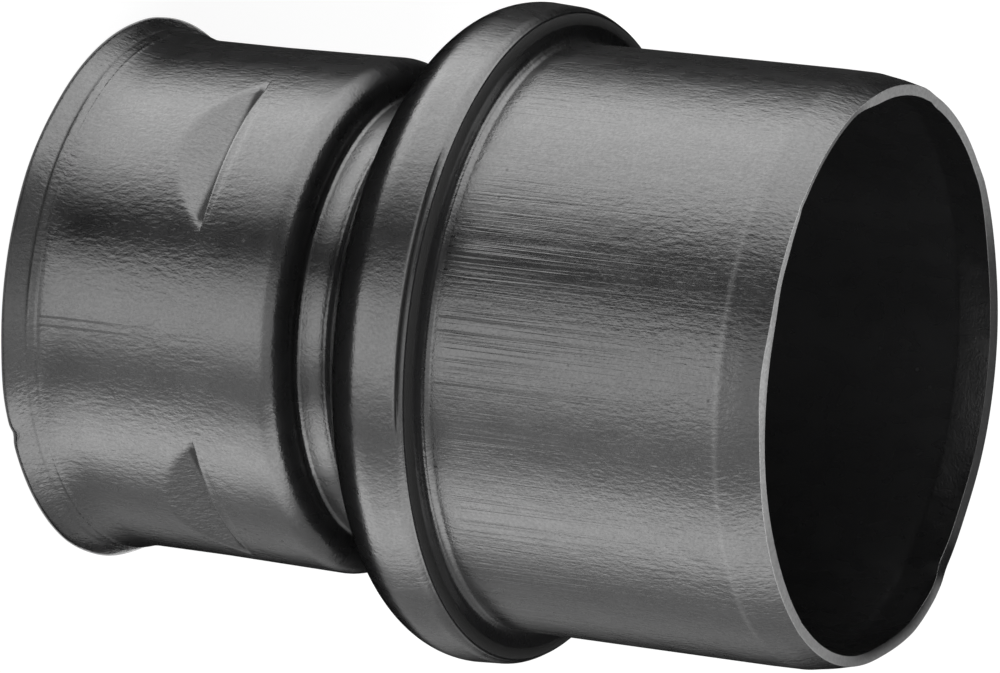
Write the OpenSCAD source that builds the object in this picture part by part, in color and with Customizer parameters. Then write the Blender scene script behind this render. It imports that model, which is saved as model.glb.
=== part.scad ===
// Drain transition fitting, blow-moulded in one piece with a thin wall.
// It joins a corrugated drain pipe, which clicks into the lower socket,
// to a smooth drain pipe, which slides over the upper spigot.
// The axis is Z. The flared lip of the socket stands on Z = 0 and the
// spigot's mouth looks up. Catch pockets lie on +X, +Y, -X and -Y.
// All sizes are in millimetres.

/* [Overall] */
// Length from the lip to the cut rim of the spigot
total_len = 155.5; // [148:0.5:170]
// Wall thickness, the same all over
wall = 1.9; // [1.4:0.1:2.4]

/* [Socket for the corrugated pipe] */
// Outside diameter of the socket, straight from the flare to the catches
socket_d = 97; // [94:0.5:100]
// How much wider the socket is at its shoulder than below the catches
socket_grow = 0.8; // [0:0.1:1.6]
// Height of the socket's flat end wall, outside
socket_len = 56.5; // [53:0.5:58]
// Radius of the rounded shoulder
shoulder_r = 4.8; // [3:0.2:5.4]

/* [Flared lip] */
// How far the lip stands out from the socket, in radius
lip_rise = 3.4; // [2.4:0.1:5]
// Height of the upright edge of the lip
lip_edge = 0.5; // [0.4:0.1:2]
// Length of the hollow curve from the lip to the socket
flare_len = 11.5; // [8:0.5:14]

/* [Catch pockets] */
// Number of catch pockets round the socket
catch_count = 4; // [2:1:6]
// Height of the upright step of each pocket
catch_top = 37; // [34:0.5:42]
// Length of the sloping floor of each pocket
catch_run = 10.4; // [8:0.2:14]
// Depth of the pocket at its step
catch_depth = 3.3; // [2:0.1:4]

/* [Neck] */
// How far the neck lies in from the socket, in radius
neck_step = 6.4; // [5.9:0.1:9]
// Radius of the hollow between the socket's end wall and the neck
neck_root_r = 1.1; // [0.6:0.1:2]
// Radius of the hollow between the neck and the bead
valley_r = 2.7; // [1.5:0.1:4]

/* [Bead] */
// How far the bead stands out from the spigot, in radius
bead_rise = 6.9; // [6:0.1:9]
// Radius of the bead's round crown
bead_r = 11; // [8:0.2:12]
// Steepness of the bead's flank, in degrees from the axis
flank_angle = 60; // [52:1:66]
// Height of the bead's flat stop face
stop_h = 89.1; // [86:0.1:93]
// Height of the bead's widest ring, measured down from the stop face
crown_drop = 7.8; // [6:0.2:10]
// How much narrower the bead is at the edge of the stop face, in radius
crown_slope = 0.3; // [0:0.1:1.2]
// Radius of the edge round the stop face
stop_edge_r = 3; // [1:0.2:3.6]
// Radius of the hollow between the stop face and the spigot
spigot_root_r = 2; // [1:0.1:3]

/* [Spigot] */
// Outside diameter of the spigot
spigot_d = 110; // [106:0.5:114]
// Length of the tapered nose
nose_len = 7.8; // [7:0.2:14]
// How much narrower the nose is at the rim, in radius
nose_in = 1.7; // [1:0.1:3.5]
// Radius of the soft edge where the nose begins
nose_edge_r = 6; // [3:0.5:7]

/* [Hidden] */
$fn = 96;
plastic = [0.16, 0.16, 0.17];
// How far an outline runs on into its neighbour, and cutters past the ends
over = 2;
// Least radius of an edge on the inside
least_edge = 0.2;
socket_r = socket_d / 2;
shoulder_at = socket_r + socket_grow / 2;
lip_r = socket_r + lip_rise;
neck_r = socket_r - neck_step;
spigot_r = spigot_d / 2;
crown_r = spigot_r + bead_rise;
// The hollow curve of the flare: it leaves the socket without a kink and
// reaches the lip at the top of the upright edge.
flare_r = (flare_len * flare_len + lip_rise * lip_rise) / (2 * lip_rise);
flare_top = lip_edge + flare_len;
// Centre of the bead's round crown
crown_z = stop_h - crown_drop;
crown_c = crown_r - bead_r;
// Where the nose begins, and the slope of its side
nose_z = total_len - nose_len;
nose_angle = atan(nose_in / nose_len);
// Slope of a pocket's floor, and how far a pocket moves in to give the
// same wall behind its floor and behind its step
catch_angle = atan(catch_depth / catch_run);
catch_shift = (1 + sin(catch_angle)) / cos(catch_angle);
// Where a pocket's floor starts, where the barrel ends, and its radius at the step
catch_base = catch_top - catch_run;
barrel_top = socket_len - shoulder_r;
catch_r = socket_r + socket_grow / 2 * catch_run / (barrel_top - catch_base);
// Half the width of the wedge that cuts a pocket, and how far out it reaches
catch_half = 26;
catch_out = 12;

// Every outline below is a half section, radius along x and height along y.
// t is how far it is set in from the outside: 0 gives the outside and the
// wall thickness gives the hollow.

// Socket: a straight barrel, a little wider from the catches on, and a rounded shoulder
module socket_outline(t, base) {
    polygon([
        [0, base],
        [socket_r - t, base],
        [socket_r - t, catch_base],
        [shoulder_at - t, barrel_top],
        [0, barrel_top]
    ]);
    translate([shoulder_at - shoulder_r, barrel_top])
        circle(r = shoulder_r - t);
    translate([0, flare_top])
        square([shoulder_at - shoulder_r, socket_len - t - flare_top]);
}

// Flare: a block out to the lip, hollowed by a large circle
module flare_outline(t, base) {
    difference() {
        translate([0, base])
            square([lip_r, flare_top - base]);
        translate([socket_r + flare_r, flare_top])
            circle(r = flare_r + t, $fn = 360);
    }
}

// Neck, with the small hollow at the foot of the socket's end wall
module neck_outline(t) {
    translate([0, barrel_top - over])
        square([neck_r - t, valley_z(t) - barrel_top + 2 * over]);
    difference() {
        translate([0, socket_len - t - over])
            square([neck_r + neck_root_r, neck_root_r + t + over]);
        translate([neck_r + neck_root_r, socket_len + neck_root_r])
            circle(r = neck_root_r + t);
    }
}

// Where the bead's flank leaves its round crown
function flank_z(t) = crown_z - (bead_r - t) * sin(flank_angle);
function flank_x(t) = crown_c + (bead_r - t) * cos(flank_angle);
// Where the flank would meet the neck
function valley_z(t) = flank_z(t) - (flank_x(t) - neck_r + t) / tan(flank_angle);
// How far the hollow between neck and flank reaches along each of them
function valley_reach() = valley_r * tan(flank_angle / 2);

// Bead: a straight flank, a round crown, a slightly tapered rim and a stop face
module bead_outline(t) {
    polygon([
        [0, valley_z(t)],
        [neck_r - t, valley_z(t)],
        [flank_x(t), flank_z(t)],
        [crown_c, crown_z],
        [0, crown_z]
    ]);
    intersection() {
        translate([crown_c, crown_z])
            circle(r = bead_r - t, $fn = 144);
        square([crown_r, crown_z]);
    }
    edge = max(stop_edge_r - t, least_edge);
    polygon([
        [0, flank_z(t)],
        [crown_c, flank_z(t)],
        [crown_r - t, crown_z],
        [crown_r - crown_slope - t, stop_h - t - edge],
        [crown_r - crown_slope - t - edge, stop_h - t],
        [0, stop_h - t]
    ]);
    translate([crown_r - crown_slope - t - edge, stop_h - t - edge])
        circle(r = edge);
}

// The hollow between neck and flank
module valley_outline(t) {
    foot = valley_z(0) - valley_reach();
    difference() {
        polygon([
            [neck_r - t - over, foot],
            [neck_r + valley_r, foot],
            [
                neck_r + valley_reach() * sin(flank_angle),
                valley_z(0) + valley_reach() * cos(flank_angle)
            ],
            [
                neck_r - t + valley_reach() * sin(flank_angle),
                valley_z(t) + valley_reach() * cos(flank_angle) + t
            ],
            [neck_r - t - over, valley_z(t) + t]
        ]);
        translate([neck_r + valley_r, foot])
            circle(r = valley_r + t);
    }
}

// Spigot, with the hollow at its root and the tapered nose
module spigot_outline(t, top) {
    difference() {
        translate([0, stop_h - t - over])
            square([spigot_r + spigot_root_r, spigot_root_r + t + over]);
        translate([spigot_r + spigot_root_r, stop_h + spigot_root_r])
            circle(r = spigot_root_r + t);
    }
    soft = nose_edge_r * tan(nose_angle / 2);
    polygon([
        [0, stop_h - t - over],
        [spigot_r - t, stop_h - t - over],
        [spigot_r - t, nose_z - soft],
        [spigot_r - nose_edge_r, nose_z - soft],
        [
            spigot_r - nose_edge_r + (nose_edge_r - t) * cos(nose_angle),
            nose_z - soft + (nose_edge_r - t) * sin(nose_angle)
        ],
        [
            spigot_r - nose_in - t / cos(nose_angle) - (top - total_len) * tan(nose_angle),
            top
        ],
        [0, top]
    ]);
    translate([spigot_r - nose_edge_r, nose_z - soft])
        circle(r = nose_edge_r - t, $fn = 144);
}

// The whole half section, set in by t, from height base to height top
module outline(t, base, top) {
    socket_outline(t, base);
    flare_outline(t, base);
    neck_outline(t);
    valley_outline(t);
    bead_outline(t);
    spigot_outline(t, top);
}

// Turned body: the outline without anything left of the axis
module turned(t, base, top) {
    rotate_extrude()
        difference() {
            outline(t, base, top);
            translate([-2 * crown_r, base - over])
                square([2 * crown_r, top - base + 2 * over]);
        }
}

// One wedge that cuts a pocket, moved in by t
module catch_wedge(t) {
    translate([-catch_shift * t, 0, t])
        rotate([90, 0, 0])
            linear_extrude(height = 2 * catch_half, center = true)
                polygon([
                    [catch_r, catch_base],
                    [catch_r - catch_depth, catch_top],
                    [catch_r + catch_out, catch_top],
                    [
                        catch_r + catch_out,
                        catch_base - catch_out / tan(catch_angle)
                    ]
                ]);
}

module catch_ring(t) {
    for (i = [0 : catch_count - 1])
        rotate([0, 0, i * 360 / catch_count])
            catch_wedge(t);
}

module transition_fitting() {
    color(plastic)
        difference() {
            turned(0, 0, total_len);
            difference() {
                turned(wall, -over, total_len + over);
                catch_ring(wall);
            }
            catch_ring(0);
        }
}

transition_fitting();
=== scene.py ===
"""Drain transition fitting, blow-moulded in one piece from black plastic.

The piece is one closed skin, worked out in millimetres: a half section of straight
runs and arcs, turned round the upright axis, with four catch pockets pressed into
the socket. Angles named phi start at the side that faces the camera and grow
towards the bottom of the picture; the fitting's +X lies at phi 54.9 degrees.
"""
import math
import bpy
import numpy as np
from mathutils import Matrix, Vector


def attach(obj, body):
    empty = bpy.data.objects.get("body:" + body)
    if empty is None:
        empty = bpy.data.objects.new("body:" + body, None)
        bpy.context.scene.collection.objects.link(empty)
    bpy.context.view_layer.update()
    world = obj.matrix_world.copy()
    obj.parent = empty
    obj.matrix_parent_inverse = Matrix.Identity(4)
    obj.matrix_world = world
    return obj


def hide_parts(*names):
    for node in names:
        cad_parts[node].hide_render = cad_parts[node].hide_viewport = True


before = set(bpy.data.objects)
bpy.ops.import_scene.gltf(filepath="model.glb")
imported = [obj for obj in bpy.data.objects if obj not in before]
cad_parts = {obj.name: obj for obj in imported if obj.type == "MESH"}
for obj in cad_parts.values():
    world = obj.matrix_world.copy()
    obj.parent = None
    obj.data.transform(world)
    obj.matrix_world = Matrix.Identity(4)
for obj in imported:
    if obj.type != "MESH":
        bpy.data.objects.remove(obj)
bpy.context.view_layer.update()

MM = 0.001

# Sizes of the fitting, as in the part's source
TOTAL_LEN = 155.5
WALL = 1.9
SOCKET_R = 48.5
SHOULDER_AT = 48.9
SOCKET_LEN = 56.5
SHOULDER_R = 4.8
LIP_R = 51.9
LIP_RISE = 3.4
LIP_EDGE = 0.5
FLARE_LEN = 11.5
CATCH_TOP = 37.0
CATCH_RUN = 10.4
CATCH_DEPTH = 3.3
NECK_R = 42.1
NECK_ROOT_R = 1.1
VALLEY_R = 2.7
CROWN_R = 61.9
BEAD_R = 11.0
FLANK = math.radians(60)
STOP_H = 89.1
CROWN_DROP = 7.8
CROWN_SLOPE = 0.3
STOP_EDGE_R = 3.0
SPIGOT_ROOT_R = 2.0
SPIGOT_R = 55.0
NOSE_LEN = 7.8
NOSE_IN = 1.7
NOSE_EDGE_R = 6.0

FLARE_TOP = LIP_EDGE + FLARE_LEN
FLARE_R = (FLARE_LEN ** 2 + LIP_RISE ** 2) / (2 * LIP_RISE)
CATCH_BASE = CATCH_TOP - CATCH_RUN
BARREL_TOP = SOCKET_LEN - SHOULDER_R
CROWN_Z = STOP_H - CROWN_DROP
CROWN_C = CROWN_R - BEAD_R
NOSE_ANGLE = math.atan(NOSE_IN / NOSE_LEN)
NOSE_Z = TOTAL_LEN - NOSE_LEN
RIM_R = SPIGOT_R - NOSE_IN
# Where the rows that bend round the catches end and the plain rows go on
CATCHES_END = 40.0
# The bends of the lip fade out up to the first height; those of the rim begin at the
# second, and those of its cut face at the third
LIP_BENDS_TO = 8
RIM_BENDS_FROM = 140
CUT_BENDS_FROM = 151

# Heights of the fine mould lines that run round the fitting
FLARE_GROOVE_Z = 4.1
FLARE_RIDGE_Z = 6.0
VALLEY_RIDGE_Z = 63.3
ROOT_RIDGE_Z = 89.72
# the painted highlight line where the nose begins
NOSE_HIGHLIGHT_Z = 147.2
NOSE_HOLLOW_Z = 147.3
NOSE_SWELL_Z = 152.0
# On the rounded edge of the stop face, in degrees up from its side: the painted highlight
# line, the groove and the ridge
EDGE_HIGHLIGHT_AT = 15
EDGE_GROOVE_AT = 27
EDGE_RIDGE_AT = 47
# Angles phi between which that groove runs, and the width of its soft ends
EDGE_GROOVE_SPAN = (-27, 16, 14)
# From this height up the spigot's rows lie close together, for its painted highlight line
FINE_FROM = 146.1

# The angle at which the fitting's +X lies, seen from the camera
X_AT = 54.9
# Columns of the skin round the axis: with its rows they stay under 200,000 triangles
COLUMNS = 328


# Camera: where the photograph was taken from, fitted to the outline

CAMERA_LENS = 261.34
CAMERA_TILT = math.radians(26.037)
CAMERA_ROLL = math.radians(6.8475)
# The waist of the fitting, 77 mm up its axis, in the camera's own directions
# (right, down, away), in millimetres
WAIST = np.array([-0.171, -1.173, 1356.45])
WAIST_Z = 77.0


def place_camera():
    """Camera whose right, down and away directions see the axis tilted and rolled."""
    up = np.array([
        math.cos(CAMERA_TILT) * math.cos(CAMERA_ROLL),
        math.cos(CAMERA_TILT) * math.sin(CAMERA_ROLL),
        -math.sin(CAMERA_TILT),
    ])
    back = -WAIST / np.linalg.norm(WAIST)
    near = back - (back @ up) * up
    near /= np.linalg.norm(near)
    down = np.cross(up, near)
    turn = math.radians(X_AT)
    x_dir = math.cos(turn) * near + math.sin(turn) * down
    y_dir = -math.sin(turn) * near + math.cos(turn) * down
    seen = np.stack([x_dir, y_dir, up], axis=1)
    foot = WAIST - WAIST_Z * up
    place = -seen.T @ foot * MM
    turned = seen.T @ np.diag([1.0, -1.0, -1.0])
    data = bpy.data.cameras.new("photo_camera")
    data.lens = CAMERA_LENS
    data.sensor_width = 36.0
    data.clip_start = 0.05
    data.clip_end = 20.0
    camera = bpy.data.objects.new("photo_camera", data)
    matrix = Matrix(turned.tolist()).to_4x4()
    matrix.translation = Vector(place.tolist())
    camera.matrix_world = matrix
    bpy.context.scene.collection.objects.link(camera)
    bpy.context.scene.camera = camera


def bearing(phi):
    """Unit directions in plan for angles phi in degrees, as arrays of x and y."""
    turn = np.radians(np.asarray(phi, float) - X_AT)
    return np.cos(turn), np.sin(turn)


# Half section: rows of (radius, height), each run without its first point

def line(r0, z0, r1, z1, count):
    """Points at even steps on the straight line from (r0, z0) to (r1, z1)."""
    step = np.linspace(0, 1, count + 1)[1:]
    return np.stack([r0 + (r1 - r0) * step, z0 + (z1 - z0) * step], axis=1)


def arc(r_mid, z_mid, radius, start, end, count):
    """Points at even angles, in degrees, on a circle about (r_mid, z_mid)."""
    turn = np.radians(np.linspace(start, end, count + 1)[1:])
    return np.stack([r_mid + radius * np.cos(turn), z_mid + radius * np.sin(turn)], axis=1)


def lower_rows(t, fine):
    """The flare from the lip to the straight barrel, set in by t.

    The fine rows lie close together at its groove and its ridge.
    """
    if fine:
        z = np.array([
            0.9, 1.5, 2.2, 2.9, 3.5, 3.8, 3.98, 4.1, 4.22, 4.4, 4.8, 5.3,
            5.6, 5.8, 6.0, 6.2, 6.5, 7, 8, 9, 10, 11, FLARE_TOP,
        ])
    else:
        z = np.array([2.0, 3.5, 5.0, 6.5, 8.0, 9.5, 11.0, FLARE_TOP])
    r_mid = SOCKET_R + FLARE_R
    return np.stack([r_mid - np.sqrt((FLARE_R + t) ** 2 - (FLARE_TOP - z) ** 2), z], axis=1)


def upper_rows(t, fine):
    """From the barrel above the catches up to the nose's rim, set in by t."""
    share = 1 if fine else 0.33
    n = lambda count: max(2, int(round(count * share)))
    flank_r = CROWN_C + (BEAD_R - t) * math.cos(FLANK)
    flank_z = CROWN_Z - (BEAD_R - t) * math.sin(FLANK)
    foot = CROWN_Z - BEAD_R * math.sin(FLANK)
    foot -= (CROWN_C + BEAD_R * math.cos(FLANK) - NECK_R) / math.tan(FLANK)
    foot -= VALLEY_R * math.tan(FLANK / 2)
    edge = max(STOP_EDGE_R - t, 0.4)
    edge_r = CROWN_R - CROWN_SLOPE - t - edge
    edge_z = STOP_H - t - edge
    soft = NOSE_EDGE_R * math.tan(NOSE_ANGLE / 2)
    root_z = SOCKET_LEN + NECK_ROOT_R
    high = SPIGOT_ROOT_R + STOP_H
    end = valley_end(t, foot)
    # the nose's last row lies this far below the cut face
    short = 0.16
    top_r = RIM_R - t / math.cos(NOSE_ANGLE)
    nose_r = SPIGOT_R - NOSE_EDGE_R + (NOSE_EDGE_R - t) * math.cos(NOSE_ANGLE)
    nose_z = NOSE_Z - soft + (NOSE_EDGE_R - t) * math.sin(NOSE_ANGLE)
    nose_c = SPIGOT_R - NOSE_EDGE_R
    nose_turn = math.degrees(NOSE_ANGLE)
    return np.concatenate([
        line(barrel(CATCHES_END) - t, CATCHES_END, SHOULDER_AT - t, BARREL_TOP, n(4)),
        arc(SHOULDER_AT - SHOULDER_R, BARREL_TOP, SHOULDER_R - t, 0, 90, n(12)),
        line(SHOULDER_AT - SHOULDER_R, SOCKET_LEN - t, NECK_R + NECK_ROOT_R, SOCKET_LEN - t, 2),
        arc(NECK_R + NECK_ROOT_R, root_z, NECK_ROOT_R + t, 270, 180, n(6)),
        line(NECK_R - t, root_z, NECK_R - t, foot, n(4)),
        arc(NECK_R + VALLEY_R, foot, VALLEY_R + t, 180, 120, n(12)),
        line(end[0], end[1], flank_r, flank_z, n(5)),
        arc(CROWN_C, CROWN_Z, BEAD_R - t, -60, 0, n(18)),
        line(CROWN_R - t, CROWN_Z, CROWN_R - CROWN_SLOPE - t, edge_z, n(5)),
        arc(edge_r, edge_z, edge, 0, 12, 3 if fine else 1),
        arc(edge_r, edge_z, edge, 12, 60, 20 if fine else 3),
        arc(edge_r, edge_z, edge, 60, 90, 4 if fine else 2),
        line(edge_r, STOP_H - t, SPIGOT_R + SPIGOT_ROOT_R, STOP_H - t, 3),
        arc(SPIGOT_R + SPIGOT_ROOT_R, high, SPIGOT_ROOT_R + t, 270, 180, n(16)),
        line(SPIGOT_R - t, high, SPIGOT_R - t, FINE_FROM, n(11)),
        line(SPIGOT_R - t, FINE_FROM, SPIGOT_R - t, NOSE_Z - soft, n(3)),
        arc(nose_c, NOSE_Z - soft, NOSE_EDGE_R - t, 0, nose_turn, n(4)),
        line(nose_r, nose_z, top_r + short * math.sin(NOSE_ANGLE), TOTAL_LEN - short, n(8)),
    ])


def valley_end(t, foot):
    """Where the hollow between neck and bead meets the bead's flank."""
    turn = math.radians(120)
    reach = VALLEY_R + t
    return NECK_R + VALLEY_R + reach * math.cos(turn), foot + reach * math.sin(turn)


def barrel(z):
    """Outside radius of the socket: straight, then a little wider from the catches on."""
    rise = (SHOULDER_AT - SOCKET_R) / (BARREL_TOP - CATCH_BASE)
    return SOCKET_R + rise * np.clip(z - CATCH_BASE, 0, None)


def catch_rows(phi, t, fine):
    """Radius and height of the rows past the catches, one array of each per row.

    A pocket's floor is a plane that comes in by CATCH_DEPTH over CATCH_RUN, so at an
    angle away from the pocket's middle its radius is the plane's distance over the
    cosine of that angle. The surface is the smaller of barrel and floor, blended over
    a short reach to round the rim. The rows bend so that a dense group follows the
    pocket's rim, and one group climbs the step. Past the step lies a shallow lens.
    """
    away = np.abs((phi - X_AT + 45) % 90 - 45)
    cos = np.cos(np.radians(away))
    slope = CATCH_DEPTH / CATCH_RUN
    lean = math.atan(slope)
    shift = (1 + math.sin(lean)) / math.cos(lean) * t
    start = float(barrel(CATCH_TOP))
    top = CATCH_TOP + t

    def floor_at(z):
        return (start - shift - slope * (z - t - CATCH_BASE)) / cos

    grow = (SHOULDER_AT - SOCKET_R) / (BARREL_TOP - CATCH_BASE)
    rim = CATCH_BASE + t + (start - shift - (SOCKET_R - t) * cos) / (slope + grow * cos)
    rim = np.minimum(rim, top - 2.3)
    soft = 0.34 if fine else 0.3
    if fine:
        near_rim = (-0.95, -0.6, -0.3, 0, 0.3, 0.6, 0.95, 1.3)
        up_ramp = (0.15, 0.3, 0.45, 0.6, 0.72, 0.82, 0.91, 1)
    else:
        near_rim = (-0.5, 0.2, 0.9)
        up_ramp = (0.25, 0.5, 0.75, 1)
    # the rows near the rim reach this far below and above it
    reach = 1.3
    # the step is climbed over this height
    climb = 0.32
    ramp_end = top - climb
    shares = np.linspace(0, 1, 8 if fine else 4)[1:]
    below = [FLARE_TOP + (rim - reach - FLARE_TOP) * s for s in shares]
    along = [rim + d for d in near_rim]
    ramp = [rim + reach + (ramp_end - 0.4 - rim - reach) * s for s in up_ramp]
    ramp.append(np.full_like(phi, ramp_end))
    radii, heights = [], []
    for z in below + along + ramp:
        wall_r, floor_r = barrel(z) - t, floor_at(z)
        gap = np.clip(0.5 + 0.5 * (floor_r - wall_r) / soft, 0, 1)
        radii.append(floor_r + (wall_r - floor_r) * gap - soft * gap * (1 - gap))
        heights.append(z)
    foot_r = radii[-1]
    full = barrel(top) - t
    deep = np.clip(full - foot_r, 0, None)
    # the radius of the step's upper edge
    crest = np.minimum(0.26, deep * 0.5)
    for share, height in ((0.06, 0.16), (0.35, 0.21), (0.75, 0.26)):
        radii.append(foot_r + (deep - crest) * share)
        heights.append(np.full_like(phi, ramp_end + height))
    for turn in (0, 30, 60, 90):
        q = math.radians(turn)
        radii.append(full - crest * (1 - math.sin(q)))
        heights.append(ramp_end + climb + 0.02 * turn / 30 + crest * (1 - math.cos(q)))
    if fine:
        lens = np.clip(1 - (away / 21.3) ** 2, 0, 1)
        lens_top = CATCH_TOP + 0.65 + 1.7 * lens
        low = heights[-1]
        for s in (0.08, 0.17, 0.32, 0.6, 0.85, 1.0, 1.12):
            z = low + (lens_top - low) * s
            radii.append(barrel(z) - t)
            heights.append(z)
        # the lens sinks the last rows by these shares of its depth
        sunk = 0.15 * lens
        holds = (1, 1, 1, 0.95, 0.6, 0.6, 0.9, 0.8, 0.5, 0.12, 0)
        for k, hold in enumerate(holds, len(radii) - len(holds)):
            radii[k] = radii[k] - sunk * hold
    radii.append(np.full_like(phi, float(barrel(CATCHES_END)) - t))
    heights.append(np.full_like(phi, CATCHES_END))
    return np.stack(radii), np.stack(heights)


def turned_rows(rows, phi):
    """Plain turned rows: the same radius and height at every angle."""
    ones = np.ones_like(phi)
    return rows[:, :1] * ones, rows[:, 1:] * ones


def downwards(rows):
    """The same rows from the top down."""
    return tuple(part[::-1] for part in rows)


# Marks for the three stretches of the skin
OUTSIDE, CUT_RIM, INSIDE = 0, 1, 2


def closed_skin():
    """Radius, height and stretch mark on a grid of rows by columns, as one closed band.

    The rows run from the middle of the lip's face up the outside, across the cut rim
    and down the inside, back to the lip's face.
    """
    phi = np.arange(COLUMNS) * 360.0 / COLUMNS + X_AT
    rim_in = RIM_R - WALL / math.cos(NOSE_ANGLE)
    lip_rows = np.array([
        [50.9, 0], [51.55, 0], [51.74, 0], [51.82, 0.03], [51.88, 0.1],
        [LIP_R, 0.22], [LIP_R, LIP_EDGE],
    ])
    rim_rows = np.array([
        [RIM_R + 0.012, TOTAL_LEN - 0.08], [RIM_R - 0.03, TOTAL_LEN - 0.02],
        [RIM_R - 0.1, TOTAL_LEN], [RIM_R - 0.35, TOTAL_LEN], [RIM_R - 0.75, TOTAL_LEN],
        [RIM_R - 1.15, TOTAL_LEN], [rim_in + 0.35, TOTAL_LEN], [rim_in + 0.1, TOTAL_LEN],
        [rim_in + 0.03, TOTAL_LEN - 0.02], [rim_in + 0.012, TOTAL_LEN - 0.08],
    ])
    lip_in = np.array([[49.96, 0.9], [49.9, 0.35], [49.98, 0.1], [50.14, 0.02], [50.3, 0.0]])
    groups = [
        (OUTSIDE, turned_rows(lip_rows, phi)),
        (OUTSIDE, turned_rows(lower_rows(0, True), phi)),
        (OUTSIDE, catch_rows(phi, 0, True)),
        (OUTSIDE, turned_rows(upper_rows(0, True), phi)),
        (CUT_RIM, turned_rows(rim_rows, phi)),
        (INSIDE, downwards(turned_rows(upper_rows(WALL, False), phi))),
        (INSIDE, downwards(catch_rows(phi, WALL, False))),
        (INSIDE, downwards(turned_rows(lower_rows(WALL, False), phi))),
        (INSIDE, turned_rows(lip_in, phi)),
    ]
    radius = np.concatenate([g[1][0] for g in groups])
    height = np.concatenate([g[1][1] for g in groups])
    side = np.concatenate([np.full(g[1][0].shape, g[0]) for g in groups])
    return phi, radius, height, side


def section_normals(radius, height):
    """Outward unit normals of the half section at each grid point: across the rows."""
    dr = np.roll(radius, -1, axis=0) - np.roll(radius, 1, axis=0)
    dz = np.roll(height, -1, axis=0) - np.roll(height, 1, axis=0)
    size = np.hypot(dr, dz) + 1e-9
    return dz / size, -dr / size


def bell(x, middle, width):
    """A smooth bump of height 1 about the middle."""
    return np.exp(-(((x - middle) / width) ** 2))


def plateau(x, start, end, soft):
    """1 between start and end and 0 outside, each edge a straight ramp of width soft
    smoothed as half a cosine wave."""
    share = np.clip((x - start) / soft + 0.5, 0, 1) * np.clip((end - x) / soft + 0.5, 0, 1)
    return 0.5 - 0.5 * np.cos(math.pi * share)


def wave_up(height, start):
    """0 below the start and 1 at the cut rim, with half a cosine wave between."""
    share = np.clip((height - start) / (TOTAL_LEN - start), 0, 1)
    return 0.5 - 0.5 * np.cos(math.pi * share)


def bend_ends(phi, radius, height, side):
    """The lip and the cut rim as they really run, not quite round and not quite level.

    The lip stands out a little towards the camera, has one notch and is pushed in
    below. The rim is cut a little low on one side, thick in front, bulges and ends in a
    kink low at the back, and is flat at the upper back. Each bend is a sum of smooth
    bumps round the axis that fade out along it as half a cosine wave.
    """
    near_lip = 0.5 + 0.5 * np.cos(math.pi * np.clip(height / LIP_BENDS_TO, 0, 1))
    lip = 0.34 * plateau(phi, -32, 76, 16) + 0.4 * bell(phi, 26, 7)
    lip = lip - 0.5 * bell(phi, 101, 11) + 0.12 * bell(phi, -21, 5) + 0.1 * bell(phi, -80, 4)
    notch = -0.7 * bell(phi, 35.4, 1.6) * np.clip(1 - height / 1.8, 0, 1)
    radius = radius + lip * near_lip + np.where(side == OUTSIDE, notch, 0)
    near_rim = wave_up(height, RIM_BENDS_FROM)
    rim = 1.9 * plateau(phi, 118, 136.5, 30) * plateau(phi, 60, 138.5, 5)
    rim = rim - 0.55 * bell(phi, 154, 10) - 0.45 * bell(phi, -153, 13)
    rim = rim - 0.45 * plateau(phi, -131, -97, 8) + 0.2 * bell(phi, 33, 25)
    radius = radius + rim * near_rim ** 2
    # across the cut face: 0 at its outer edge and 1 at its inner edge and inside
    share = np.clip((RIM_R + rim - radius) / WALL, 0, 1)
    across = np.where(side == INSIDE, 1.0, np.where(side == CUT_RIM, share, 0.0))
    top = wave_up(height, CUT_BENDS_FROM)
    thin = 1.15 * plateau(phi, -66, -27, 14) + 0.35 * plateau(phi, -27, -12, 8)
    thin = thin - 0.5 * bell(phi, 42, 16) + 0.3 * bell(phi, -98, 1.6)
    radius = radius + thin * across * top
    far = plateau(phi % 360, 137, 400, 8) * plateau(phi % 360, -100, 222, 34)
    low = 0.25 * plateau(phi, -64, -12, 12) + 0.15 * bell(phi, -32, 1.4) + 0.12 * bell(phi, 63, 1.4)
    low = low + 0.5 * bell(phi, 4, 8) * np.clip(1 - 2.5 * across, 0, 1)
    low = low + across ** 2 * (0.7 * far + 0.55 * plateau(phi, 96, 137, 20))
    height = height - low * top
    # how pale the cut face is, with painted shade: less pale where it turns from the light and at
    # the back
    pale = 1.0 - 0.18 * plateau(phi, -110, -40, 12) - 0.25 * plateau(phi, 30, 90, 20)
    pale = pale - 0.45 * plateau(phi, 86, 140, 20) - across * 0.5 * plateau(phi, 96, 137, 16)
    pale = pale - 0.9 * far - 0.16 * plateau(phi, -140, -112, 14)
    pale = pale - 0.4 * plateau(phi, -64, -33, 8)
    return radius, height, np.where(side == CUT_RIM, np.clip(pale, 0, 1), 0.0)


def mould_places(radius, height, side):
    """The grid points at which each fine mould line can be, and how far round the stop
    face's rounded edge each point lies, in degrees up from its side."""
    outer = side == OUTSIDE
    places = {
        "edge": outer & (height > CROWN_Z) & (height < STOP_H + 0.01) & (radius > 58),
        "root": outer & (height > STOP_H - 0.1) & (height < 91.5) & (radius < 57.2),
        "valley": outer & (height > 61.5) & (height < 65) & (radius < 46),
        "flare": outer & (height < FLARE_TOP),
        "nose": outer & (height > 140) & (height < 155),
    }
    edge_r = CROWN_R - CROWN_SLOPE - STOP_EDGE_R
    edge_z = STOP_H - STOP_EDGE_R
    return places, np.degrees(np.arctan2(height - edge_z, radius - edge_r))


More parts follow.
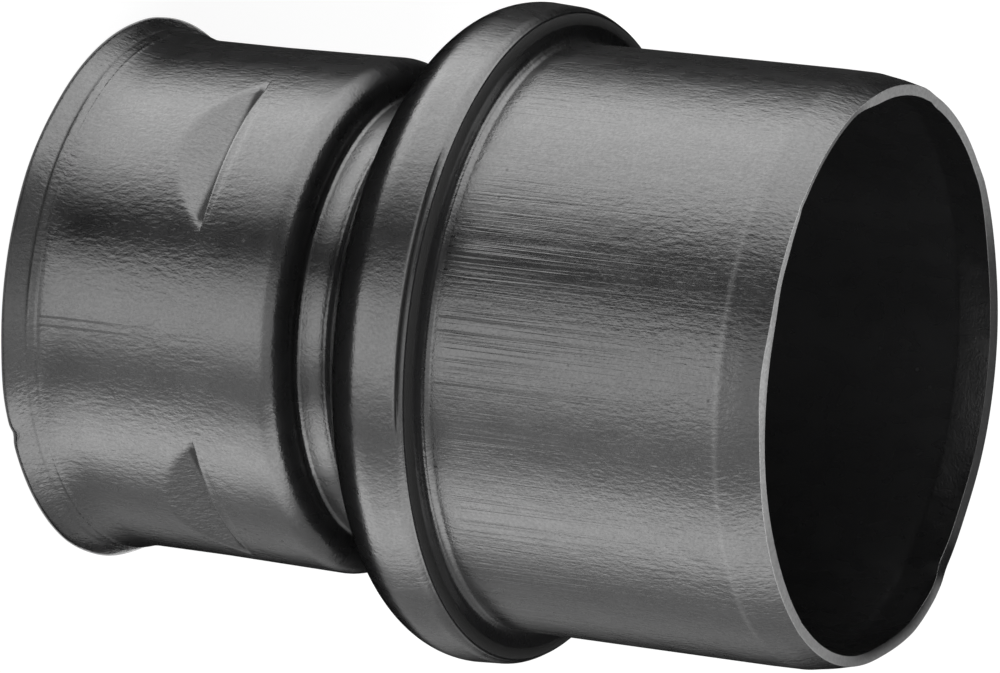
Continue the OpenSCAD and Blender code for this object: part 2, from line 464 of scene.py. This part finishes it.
def mould_lift(turn, height, places, edge_turn):
    """How far the fine mould lines lift the outside along its normal.

    Each line is a smooth bump across its height or its place on the stop face's edge,
    and the grooves are deepest in front.
    """
    groove = -0.8 * plateau(turn, *EDGE_GROOVE_SPAN) * bell(edge_turn, EDGE_GROOVE_AT, 5.5)
    ridge = 0.14 * bell(edge_turn, EDGE_RIDGE_AT, 3.4)
    lift = np.where(places["edge"], groove + ridge, 0)
    lift += np.where(places["root"], 0.06 * bell(height, ROOT_RIDGE_Z, 0.14), 0)
    lift += np.where(places["valley"], 0.07 * bell(height, VALLEY_RIDGE_Z, 0.22), 0)
    groove = -(0.04 + 0.1 * plateau(turn, -45, 5, 30)) * bell(height, FLARE_GROOVE_Z, 0.25)
    ridge = 0.09 * bell(height, FLARE_RIDGE_Z, 0.22)
    lift += np.where(places["flare"], groove + ridge, 0)
    hollow = -0.11 * bell(height, NOSE_HOLLOW_Z, 3.2) + 0.08 * bell(height, NOSE_SWELL_Z, 2)
    return lift + np.where(places["nose"], hollow, 0)


def painted_line_light(turn, height, places, edge_turn):
    """Painted shade in the lines' creases, and painted highlights beside them.

    The painted shade darkens the stop face's edge in its groove and beyond its ridge, and
    the flare in its groove and, in front, from the lip to its ridge. The painted
    highlights are pale lines below the edge's groove and where the nose begins.
    """
    # painted shade: the stop face's edge is darkened in its groove and beyond its ridge
    step = plateau(edge_turn, 20, 38, 5) * plateau(turn, *EDGE_GROOVE_SPAN)
    painted_shade = np.where(places["edge"], step + plateau(edge_turn, 54, 95, 6), 0)
    # painted shade in the flare's groove and, in front, from the lip to its ridge
    line = bell(height, FLARE_GROOVE_Z, 0.2) * (0.25 + 0.75 * plateau(turn, -45, 8, 30))
    band = 0.35 * plateau(height, 0.6, FLARE_RIDGE_Z, 0.5) * plateau(turn, -22, 6, 14)
    painted_shade += np.where(places["flare"], line + band, 0)

    # painted highlights: pale lines below the edge's groove and where the nose begins
    line = 0.3 * bell(edge_turn, EDGE_HIGHLIGHT_AT, 4) * plateau(turn, -20, 16, 10)
    painted_highlight = np.where(places["edge"], line, 0)
    line = 0.13 * bell(height, NOSE_HIGHLIGHT_Z, 0.5) * plateau(turn, -30, 62, 20)
    return painted_shade, painted_highlight + np.where(places["nose"], line, 0)


def texture_shares(turn, height, side):
    """How strong the drawn lines and the leathery ripples are at each grid point.

    The lines begin above the stop face and fade towards the nose. The ripples are
    strongest on the socket, fade on its shoulder and are faint inside.
    """
    outer = side == OUTSIDE
    fade = 1 - 0.75 * np.clip((height - 98) / 34, 0, 1)
    die = np.where(outer, np.clip((height - 91.0) / 1.2, 0, 1) * fade, 0.0)
    die *= 0.35 + 0.65 * plateau(turn, -26, 9, 14) + 0.2 * bell(turn, 40, 14)
    socket = outer & (height > 2) & (height < 52)
    ripple = np.where(socket, 1 - 0.75 * np.clip((height - 40) / 8, 0, 1), 0.25)
    ripple = np.where(outer & (height > 65) & (height < 88), 0.45, ripple)
    spigot = 0.42 + 0.5 * np.clip((height - 110) / 25, 0, 1)
    ripple = np.where(outer & (height > 91.5), spigot, ripple)
    return die, np.where(side == INSIDE, 0.15, ripple)


def build_fitting():
    """The fitting's skin as one mesh, with its marks for the material as attributes,
    painted shade and painted highlights among them.
    """
    phi, radius, height, side = closed_skin()
    x_dir, y_dir = bearing(phi)
    turn = np.broadcast_to((phi + 180) % 360 - 180, radius.shape)
    nr, nz = section_normals(radius, height)
    places, edge_turn = mould_places(radius, height, side)
    lift = mould_lift(turn, height, places, edge_turn)
    radius = radius + nr * lift
    height = height + nz * lift
    painted_shade, painted_highlight = painted_line_light(turn, height, places, edge_turn)
    # painted shade: the foot of each pocket's step is darkened too
    pocket = (side == OUTSIDE) & (height > CATCH_TOP - 3) & (height < CATCH_TOP - 0.15)
    pocket &= barrel(height) - radius > 0.35
    painted_shade += np.where(pocket, np.clip((height - CATCH_TOP + 2.1) / 0.7, 0, 1), 0)
    die, ripple = texture_shares(turn, height, side)
    radius, height, cut = bend_ends(turn, radius, height, side)
    # the painted highlights are added to the cut face's pale colour
    cut = np.clip(cut + painted_highlight, 0, 1)

    rows, cols = radius.shape
    verts = np.stack([radius * x_dir, radius * y_dir, height], axis=2).reshape(-1, 3) * MM
    row, col = np.meshgrid(np.arange(rows), np.arange(cols), indexing="ij")
    next_row, next_col = (row + 1) % rows, (col + 1) % cols
    faces = np.stack([
        row * cols + col, row * cols + next_col,
        next_row * cols + next_col, next_row * cols + col,
    ], axis=2).reshape(-1, 4)
    mesh = bpy.data.meshes.new("fitting_body")
    mesh.vertices.add(len(verts))
    mesh.vertices.foreach_set("co", verts.astype(np.float32).ravel())
    mesh.loops.add(faces.size)
    mesh.loops.foreach_set("vertex_index", faces.astype(np.int32).ravel())
    mesh.polygons.add(len(faces))
    starts = np.arange(0, faces.size, 4, dtype=np.int32)
    mesh.polygons.foreach_set("loop_start", starts)
    mesh.polygons.foreach_set("use_smooth", np.ones(len(faces), dtype=bool))
    mesh.update(calc_edges=True)
    mesh.validate()
    print("fitting_body has", 2 * len(faces), "triangles")
    set_values(mesh, "cut_face_and_painted_light", cut)
    set_values(mesh, "die_lines", die)
    set_values(mesh, "ripples", ripple)
    set_values(mesh, "painted_shade", painted_shade)
    piece = bpy.data.objects.new("fitting_body", mesh)
    bpy.context.scene.collection.objects.link(piece)
    return piece


def set_values(mesh, name, values):
    """Write one value per vertex as a named attribute."""
    layer = mesh.attributes.new(name, "FLOAT", "POINT")
    layer.data.foreach_set("value", values.astype(np.float32).ravel())


# Materials

class Nodes:
    """Short words for making and joining a material's nodes."""

    def __init__(self, material):
        material.use_nodes = True
        self.tree = material.node_tree
        self.tree.nodes.clear()

    def new(self, kind, **values):
        node = self.tree.nodes.new(kind)
        for key, value in values.items():
            setattr(node, key, value)
        return node

    def join(self, source, target):
        self.tree.links.new(source, target)

    def maths(self, operation, first, second):
        node = self.new("ShaderNodeMath", operation=operation)
        for socket, value in zip(node.inputs, (first, second)):
            if isinstance(value, (int, float)):
                socket.default_value = value
            else:
                self.join(value, socket)
        return node.outputs[0]

    def noise(self, coordinate, scale, detail=2.0, rough=0.5, stretch=(1, 1, 1)):
        mapping = self.new("ShaderNodeMapping")
        mapping.inputs["Scale"].default_value = stretch
        self.join(coordinate, mapping.inputs["Vector"])
        node = self.new("ShaderNodeTexNoise")
        node.inputs["Scale"].default_value = scale
        node.inputs["Detail"].default_value = detail
        node.inputs["Roughness"].default_value = rough
        self.join(mapping.outputs[0], node.inputs["Vector"])
        return node.outputs["Fac"]

    def spread(self, value, low, high, to_low, to_high):
        node = self.new("ShaderNodeMapRange")
        node.inputs["From Min"].default_value = low
        node.inputs["From Max"].default_value = high
        node.inputs["To Min"].default_value = to_low
        node.inputs["To Max"].default_value = to_high
        self.join(value, node.inputs["Value"])
        return node.outputs[0]

    def attribute(self, name):
        return self.new("ShaderNodeAttribute", attribute_name=name).outputs["Fac"]

    def bump(self, height, strength, distance, before=None):
        node = self.new("ShaderNodeBump")
        node.inputs["Strength"].default_value = strength
        node.inputs["Distance"].default_value = distance
        self.join(height, node.inputs["Height"])
        if before is not None:
            self.join(before, node.inputs["Normal"])
        return node.outputs[0]

    def mix(self, factor, first, second):
        """Blend of two colours, each one a node's output or a fixed colour."""
        node = self.new("ShaderNodeMix", data_type="RGBA")
        self.join(factor, node.inputs["Factor"])
        for name, colour in (("A", first), ("B", second)):
            if isinstance(colour, tuple):
                node.inputs[name].default_value = colour
            else:
                self.join(colour, node.inputs[name])
        return node.outputs["Result"]

    def paint(self, shade):
        """Dull paint of an even grey."""
        node = self.new("ShaderNodeBsdfDiffuse")
        node.inputs["Color"].default_value = (shade, shade, shade, 1)
        return node.outputs[0]

    def seen_directly(self):
        """1 for rays from the camera, a mirroring surface or a clear one, else 0."""
        path = self.new("ShaderNodeLightPath")
        seen = self.maths("ADD", path.outputs["Is Camera Ray"], path.outputs["Is Glossy Ray"])
        seen = self.maths("ADD", seen, path.outputs["Is Transmission Ray"])
        return self.maths("MINIMUM", seen, 1.0)

    def surface(self, shader, kind="ShaderNodeOutputMaterial"):
        """Join the shader to the output, which is a material's or the world's."""
        self.join(shader, self.new(kind).inputs["Surface"])


# Single marks along the axis: the angle phi, half its width in degrees, and whether it
# is a groove (-1) or a ridge (1); on the spigot, and a pair on the socket
SPIGOT_MARKS = [
    (-21.2, 0.22, -1), (-16.6, 0.24, 1), (-14.7, 0.22, 1), (-13.4, 0.2, 1), (-10.2, 0.24, 1),
    (-5.3, 0.2, -1), (-1.3, 0.24, -1), (1.3, 0.2, -1), (11.2, 0.22, -1), (28.0, 0.24, 1),
]
SOCKET_MARKS = [(8.8, 0.26, -1), (10.7, 0.26, -1)]


def marks_at(n, angle, marks):
    """Height of a set of marks: the sum, over the marks, of each one's sign where the
    angle about the axis lies within its width."""
    total = None
    for phi, width, sign in marks:
        inside = n.new("ShaderNodeMath", operation="COMPARE")
        n.join(angle, inside.inputs[0])
        inside.inputs[1].default_value = math.radians((phi - X_AT + 180) % 360 - 180)
        inside.inputs[2].default_value = math.radians(width)
        mark = n.maths("MULTIPLY", inside.outputs[0], sign)
        total = mark if total is None else n.maths("ADD", total, mark)
    return total


def scribed_marks(n, place):
    """The spigot's marks fade out towards the nose, the socket's pair half way up.
    Heights here are in metres."""
    parts = n.new("ShaderNodeSeparateXYZ")
    n.join(place, parts.inputs[0])
    angle = n.maths("ARCTAN2", parts.outputs["Y"], parts.outputs["X"])
    up = parts.outputs["Z"]
    begins, ends = n.spread(up, 0.0910, 0.0918, 0, 1), n.spread(up, 0.100, 0.138, 1, 0)
    on_spigot = n.maths("MULTIPLY", begins, ends)
    begins, ends = n.spread(up, 0.0060, 0.0068, 0, 1), n.spread(up, 0.018, 0.030, 1, 0)
    on_socket = n.maths("MULTIPLY", begins, ends)
    first = n.maths("MULTIPLY", marks_at(n, angle, SPIGOT_MARKS), on_spigot)
    second = n.maths("MULTIPLY", marks_at(n, angle, SOCKET_MARKS), on_socket)
    return n.maths("ADD", first, second)


def furrows(n, noise, width):
    """Fine furrows where a noise crosses its middle value: 0 there, 1 away from it."""
    away = n.maths("ABSOLUTE", n.maths("SUBTRACT", noise, 0.5), 0.0)
    return n.spread(away, 0, width, 0, 1)


def black_plastic():
    """Semi-matt black plastic: drawn lines along the axis on the spigot, leathery ripples
    on the socket, a fine grain, painted shade in creases, grooves and a few pits, and a pale
    cut rim with painted shade and highlights in it."""
    material = bpy.data.materials.new("black_plastic")
    n = Nodes(material)
    place = n.new("ShaderNodeTexCoord").outputs["Object"]
    # the cut face's pale share, with painted shade and painted highlights in it
    cut = n.attribute("cut_face_and_painted_light")
    painted_shade = n.attribute("painted_shade")
    die_here = n.attribute("die_lines")
    ripple_here = n.attribute("ripples")
    marks = scribed_marks(n, place)
    # lines along the axis, in groups: a smooth part and sharp furrows
    drawn = n.noise(place, 1000, 2.0, 0.6, (1, 1, 0.012))
    drawn = n.maths("ADD", drawn, n.maths("MULTIPLY", furrows(n, drawn, 0.06), 0.4))
    drawn = n.maths("MULTIPLY", n.maths("SUBTRACT", drawn, 0.85), die_here)
    # ripples like leather: short strokes along the axis
    swirl = n.noise(place, 1250, 2.0, 0.55, (1, 1, 0.46))
    leather = n.maths("MULTIPLY", n.maths("SUBTRACT", swirl, 0.5), ripple_here)
    grain = n.noise(place, 1900, 1.0, 0.6)
    peel = n.noise(place, 260, 1.0, 0.5, (1, 1, 0.7))
    cloud = n.noise(place, 45, 3.0, 0.6, (1, 1, 0.35))
    # painted shade of pits: small dark spots at the middles of a few cells
    cells = n.new("ShaderNodeTexVoronoi")
    cells.inputs["Scale"].default_value = 330
    n.join(place, cells.inputs["Vector"])
    painted_pit_shade = n.spread(cells.outputs["Distance"], 0.05, 0.14, 1, 0)
    painted_pit_shade = n.maths("MULTIPLY", painted_pit_shade, n.spread(cloud, 0.6, 0.66, 0, 1))
    normal = n.bump(peel, 0.5, 0.00018)
    normal = n.bump(leather, 1.0, 0.00011, normal)
    normal = n.bump(drawn, 1.0, 0.0001, normal)
    normal = n.bump(marks, 1.0, 0.00012, normal)
    normal = n.bump(grain, 1.0, 0.000035, normal)
    # colour: slow cloudy change, painted shade near black in creases, grooves and pits, and a pale
    # cut face that carries painted shade and highlights too
    shade = n.spread(cloud, 0.3, 0.7, 0.0, 1.0)
    body = n.mix(shade, (0.010, 0.010, 0.0104, 1), (0.0145, 0.0145, 0.015, 1))
    # painted shade in the scribed grooves
    groove = n.maths("MULTIPLY", n.maths("MAXIMUM", n.maths("MULTIPLY", marks, -1.0), 0.0), 0.5)
    dark = n.maths("ADD", n.maths("ADD", painted_shade, groove), n.maths("MULTIPLY", painted_pit_shade, 0.8))
    dark = n.maths("MINIMUM", dark, 1.0)
    deep = n.mix(dark, body, (0.004, 0.004, 0.004, 1))
    mottle = n.spread(grain, 0.3, 0.7, 0.26, 0.38)
    pale = n.new("ShaderNodeCombineColor")
    for part in pale.inputs:
        n.join(mottle, part)
    colour = n.mix(cut, deep, pale.outputs[0])
    rough = n.spread(peel, 0.25, 0.75, 0.24, 0.32)
    rough = n.maths("ADD", rough, n.maths("MULTIPLY", cut, 0.3))
    rough = n.maths("ADD", rough, n.maths("MULTIPLY", dark, 0.55))
    skin = n.new("ShaderNodeBsdfPrincipled")
    skin.inputs["IOR"].default_value = 1.54
    skin.inputs["Coat Roughness"].default_value = 0.2
    skin.inputs["Coat IOR"].default_value = 1.5
    gloss = n.spread(grain, 0.3, 0.7, 0.42, 0.78)
    n.join(n.maths("MULTIPLY", n.maths("SUBTRACT", 1.0, dark), gloss), skin.inputs["Coat Weight"])
    n.join(colour, skin.inputs["Base Color"])
    n.join(rough, skin.inputs["Roughness"])
    n.join(normal, skin.inputs["Normal"])
    n.join(normal, skin.inputs["Coat Normal"])
    n.surface(skin.outputs[0])
    return material


def panel_skin():
    """The panel's face: it shines by its glow, on its front side only."""
    material = bpy.data.materials.new("strip_panel")
    n = Nodes(material)
    front = n.maths("SUBTRACT", 1.0, n.new("ShaderNodeNewGeometry").outputs["Backfacing"])
    shine = n.new("ShaderNodeEmission")
    shine.inputs["Color"].default_value = (1, 1, 1, 1)
    n.join(n.maths("MULTIPLY", front, n.attribute("glow")), shine.inputs["Strength"])
    n.surface(shine.outputs[0])
    return material


def card_skin():
    """Black cloth on the cards that keep light off the dark bands."""
    material = bpy.data.materials.new("card_black")
    n = Nodes(material)
    n.surface(n.paint(0.01))
    return material


def floor_skin():
    """Pale floor: white to the camera and in reflections, with the shadow kept on it."""
    material = bpy.data.materials.new("pale_floor")
    n = Nodes(material)
    white = n.new("ShaderNodeEmission")
    white.inputs["Strength"].default_value = 0.88
    both = n.new("ShaderNodeAddShader")
    n.join(white.outputs[0], both.inputs[0])
    n.join(n.paint(0.2), both.inputs[1])
    pick = n.new("ShaderNodeMixShader")
    n.join(n.seen_directly(), pick.inputs[0])
    n.join(n.paint(0.7), pick.inputs[1])
    n.join(both.outputs[0], pick.inputs[2])
    n.surface(pick.outputs[0])
    return material


# Studio

# The panel, in millimetres: how far from the mirroring wall it begins and stands up,
# the heights of its lying part and its top, and the radius of that wall
PANEL_NEAR = 9.0
PANEL_FAR = 490.0
PANEL_LOW = 1.5
PANEL_TOP = 640.0
MIRROR_R = 51.5

# The soft strips of light on the panel, from the top of the picture to the bottom:
# strength, and the angles phi at which each begins, is full, starts to fade and has ended
STRIPS = [
    (0.03, -92, -84, -72, -62),
    (3.75, -65, -46, -32, -14),
    (2.95, -12, 0, 4, 20),
    (0.8, 2, 9, 26, 38),
    (3.8, 22, 37, 39, 52),
    (0.5, 44, 52, 66, 79),
]


def glow(phi):
    """Strength of the panel's light at each angle: the sum of the strips, each with
    edges that rise and fall as half a cosine wave."""
    light = np.zeros_like(phi)
    for strength, start, full, fade, end in STRIPS:
        rise = 0.5 - 0.5 * np.cos(math.pi * np.clip((phi - start) / (full - start), 0, 1))
        fall = 0.5 - 0.5 * np.cos(math.pi * np.clip((end - phi) / (end - fade), 0, 1))
        light += strength * rise * fall
    return light


def build_panel():
    """One bent sheet with strips of light on black: out over the floor, then upright.

    It is what the upright walls of the fitting mirror. A wall at angle phi mirrors
    the floor along the line that leaves it at the angle 2 phi, so each column of the
    sheet is such a line, and the standing part goes on above its far end. Behind the
    fitting the standing part is black.
    """
    phi = np.linspace(-90, 90, 181)
    wall_x, wall_y = bearing(phi)
    out_x, out_y = bearing(2 * phi)
    lying, standing = 12, 20
    reach = np.linspace(PANEL_NEAR, PANEL_FAR, lying)
    reach = np.concatenate([reach, np.full(standing, PANEL_FAR)])
    rise = np.linspace(PANEL_LOW, PANEL_TOP, standing + 1)[1:]
    rise = np.concatenate([np.full(lying, PANEL_LOW), rise])
    x = MIRROR_R * wall_x + reach[:, None] * out_x
    y = MIRROR_R * wall_y + reach[:, None] * out_y
    z = rise[:, None] * np.ones_like(phi)
    verts = np.stack([x, y, z], axis=2).reshape(-1, 3) * MM
    rows, cols = x.shape
    row, col = np.meshgrid(np.arange(rows - 1), np.arange(cols - 1), indexing="ij")
    at = row * cols + col
    faces = np.stack([at, at + cols, at + cols + 1, at + 1], axis=2).reshape(-1, 4)
    mesh = bpy.data.meshes.new("strip_panel")
    mesh.from_pydata(verts.tolist(), [], faces.tolist())
    mesh.update()
    upright = (rise > PANEL_LOW)[:, None]
    light = glow(phi) * np.where(upright & (np.abs(phi) > 68), 0.0, 1.0)
    high = 1 - 0.5 * plateau(phi, -16, 15, 10) + 0.35 * bell(phi, 26, 6) + 0.25 * bell(phi, 50, 5)
    light = light * np.where((rise > 60)[:, None], high, 1.0)
    set_values(mesh, "glow", light)
    mesh.materials.append(panel_skin())
    mirror_only(bpy.data.objects.new("strip_panel", mesh))


def mirror_only(sheet):
    """A panel or card that is seen only in the gloss: it lights and shades nothing else."""
    sheet.visible_camera = False
    sheet.visible_shadow = False
    sheet.visible_transmission = False
    sheet.visible_diffuse = False
    bpy.context.scene.collection.objects.link(sheet)


def add_turned_card(name, outline, closed):
    """Black card or drape turned round the axis from an outline of (radius, height)."""
    sides = 64
    turn = np.arange(sides) * 2 * math.pi / sides
    outline = np.array(outline)
    x = outline[:, :1] * np.cos(turn)
    y = outline[:, :1] * np.sin(turn)
    z = outline[:, 1:] * np.ones(sides)
    verts = np.stack([x, y, z], axis=2).reshape(-1, 3) * MM
    row, col = np.meshgrid(np.arange(len(outline) - 1), np.arange(sides), indexing="ij")
    at, beside = row * sides + col, row * sides + (col + 1) % sides
    faces = np.stack([at, beside, beside + sides, at + sides], axis=2).reshape(-1, 4).tolist()
    if closed:
        faces.append(list(range(len(verts) - sides, len(verts))))
    mesh = bpy.data.meshes.new(name)
    mesh.from_pydata(verts.tolist(), [], faces)
    mesh.update()
    mesh.materials.append(card_skin())
    mirror_only(bpy.data.objects.new(name, mesh))


def build_studio():
    """Floor, panel, cards, lamp and the light that comes from all round."""
    half = 4.0
    corners = [(-half, -half, 0), (half, -half, 0), (half, half, 0), (-half, half, 0)]
    mesh = bpy.data.meshes.new("floor")
    mesh.from_pydata(corners, [], [(0, 1, 2, 3)])
    floor = bpy.data.objects.new("floor", mesh)
    # a hair below the lip, so that the two faces don't share a plane
    mesh.transform(Matrix.Translation((0, 0, -0.0001)))
    mesh.materials.append(floor_skin())
    bpy.context.scene.collection.objects.link(floor)
    build_panel()
    add_turned_card("foot_card", [(52.3, 0.5), (100, 0.5)], False)
    add_turned_card("waist_collar", [(44.5, 60.3), (44.5, 63.3), (65.0, 73.4)], False)
    add_turned_card("black_drape", [(560, 2), (560, 680)], True)
    key = bpy.data.lights.new("key_lamp", "AREA")
    key.shape = "DISK"
    key.size = 0.9
    key.energy = 17.0
    lamp = bpy.data.objects.new("key_lamp", key)
    lamp.visible_glossy = False
    kx, ky = bearing(40)
    lamp.location = (1.1 * kx, 1.1 * ky, 1.5)
    lamp.rotation_euler = (Vector((0, 0, 0.08)) - lamp.location).to_track_quat("-Z", "Y").to_euler()
    bpy.context.scene.collection.objects.link(lamp)
    world = bpy.data.worlds.new("studio_air")
    bpy.context.scene.world = world
    n = Nodes(world)
    air = n.new("ShaderNodeBackground")
    air.inputs["Color"].default_value = (1, 1, 1, 1)
    n.join(n.spread(n.seen_directly(), 0, 1, 0.58, 1.0), air.inputs["Strength"])
    n.surface(air.outputs[0], "ShaderNodeOutputWorld")


place_camera()
build_studio()
body = build_fitting()
body.data.materials.append(black_plastic())
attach(body, "root")
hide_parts("transition_fitting")

scene = bpy.context.scene
scene.view_settings.view_transform = "Standard"
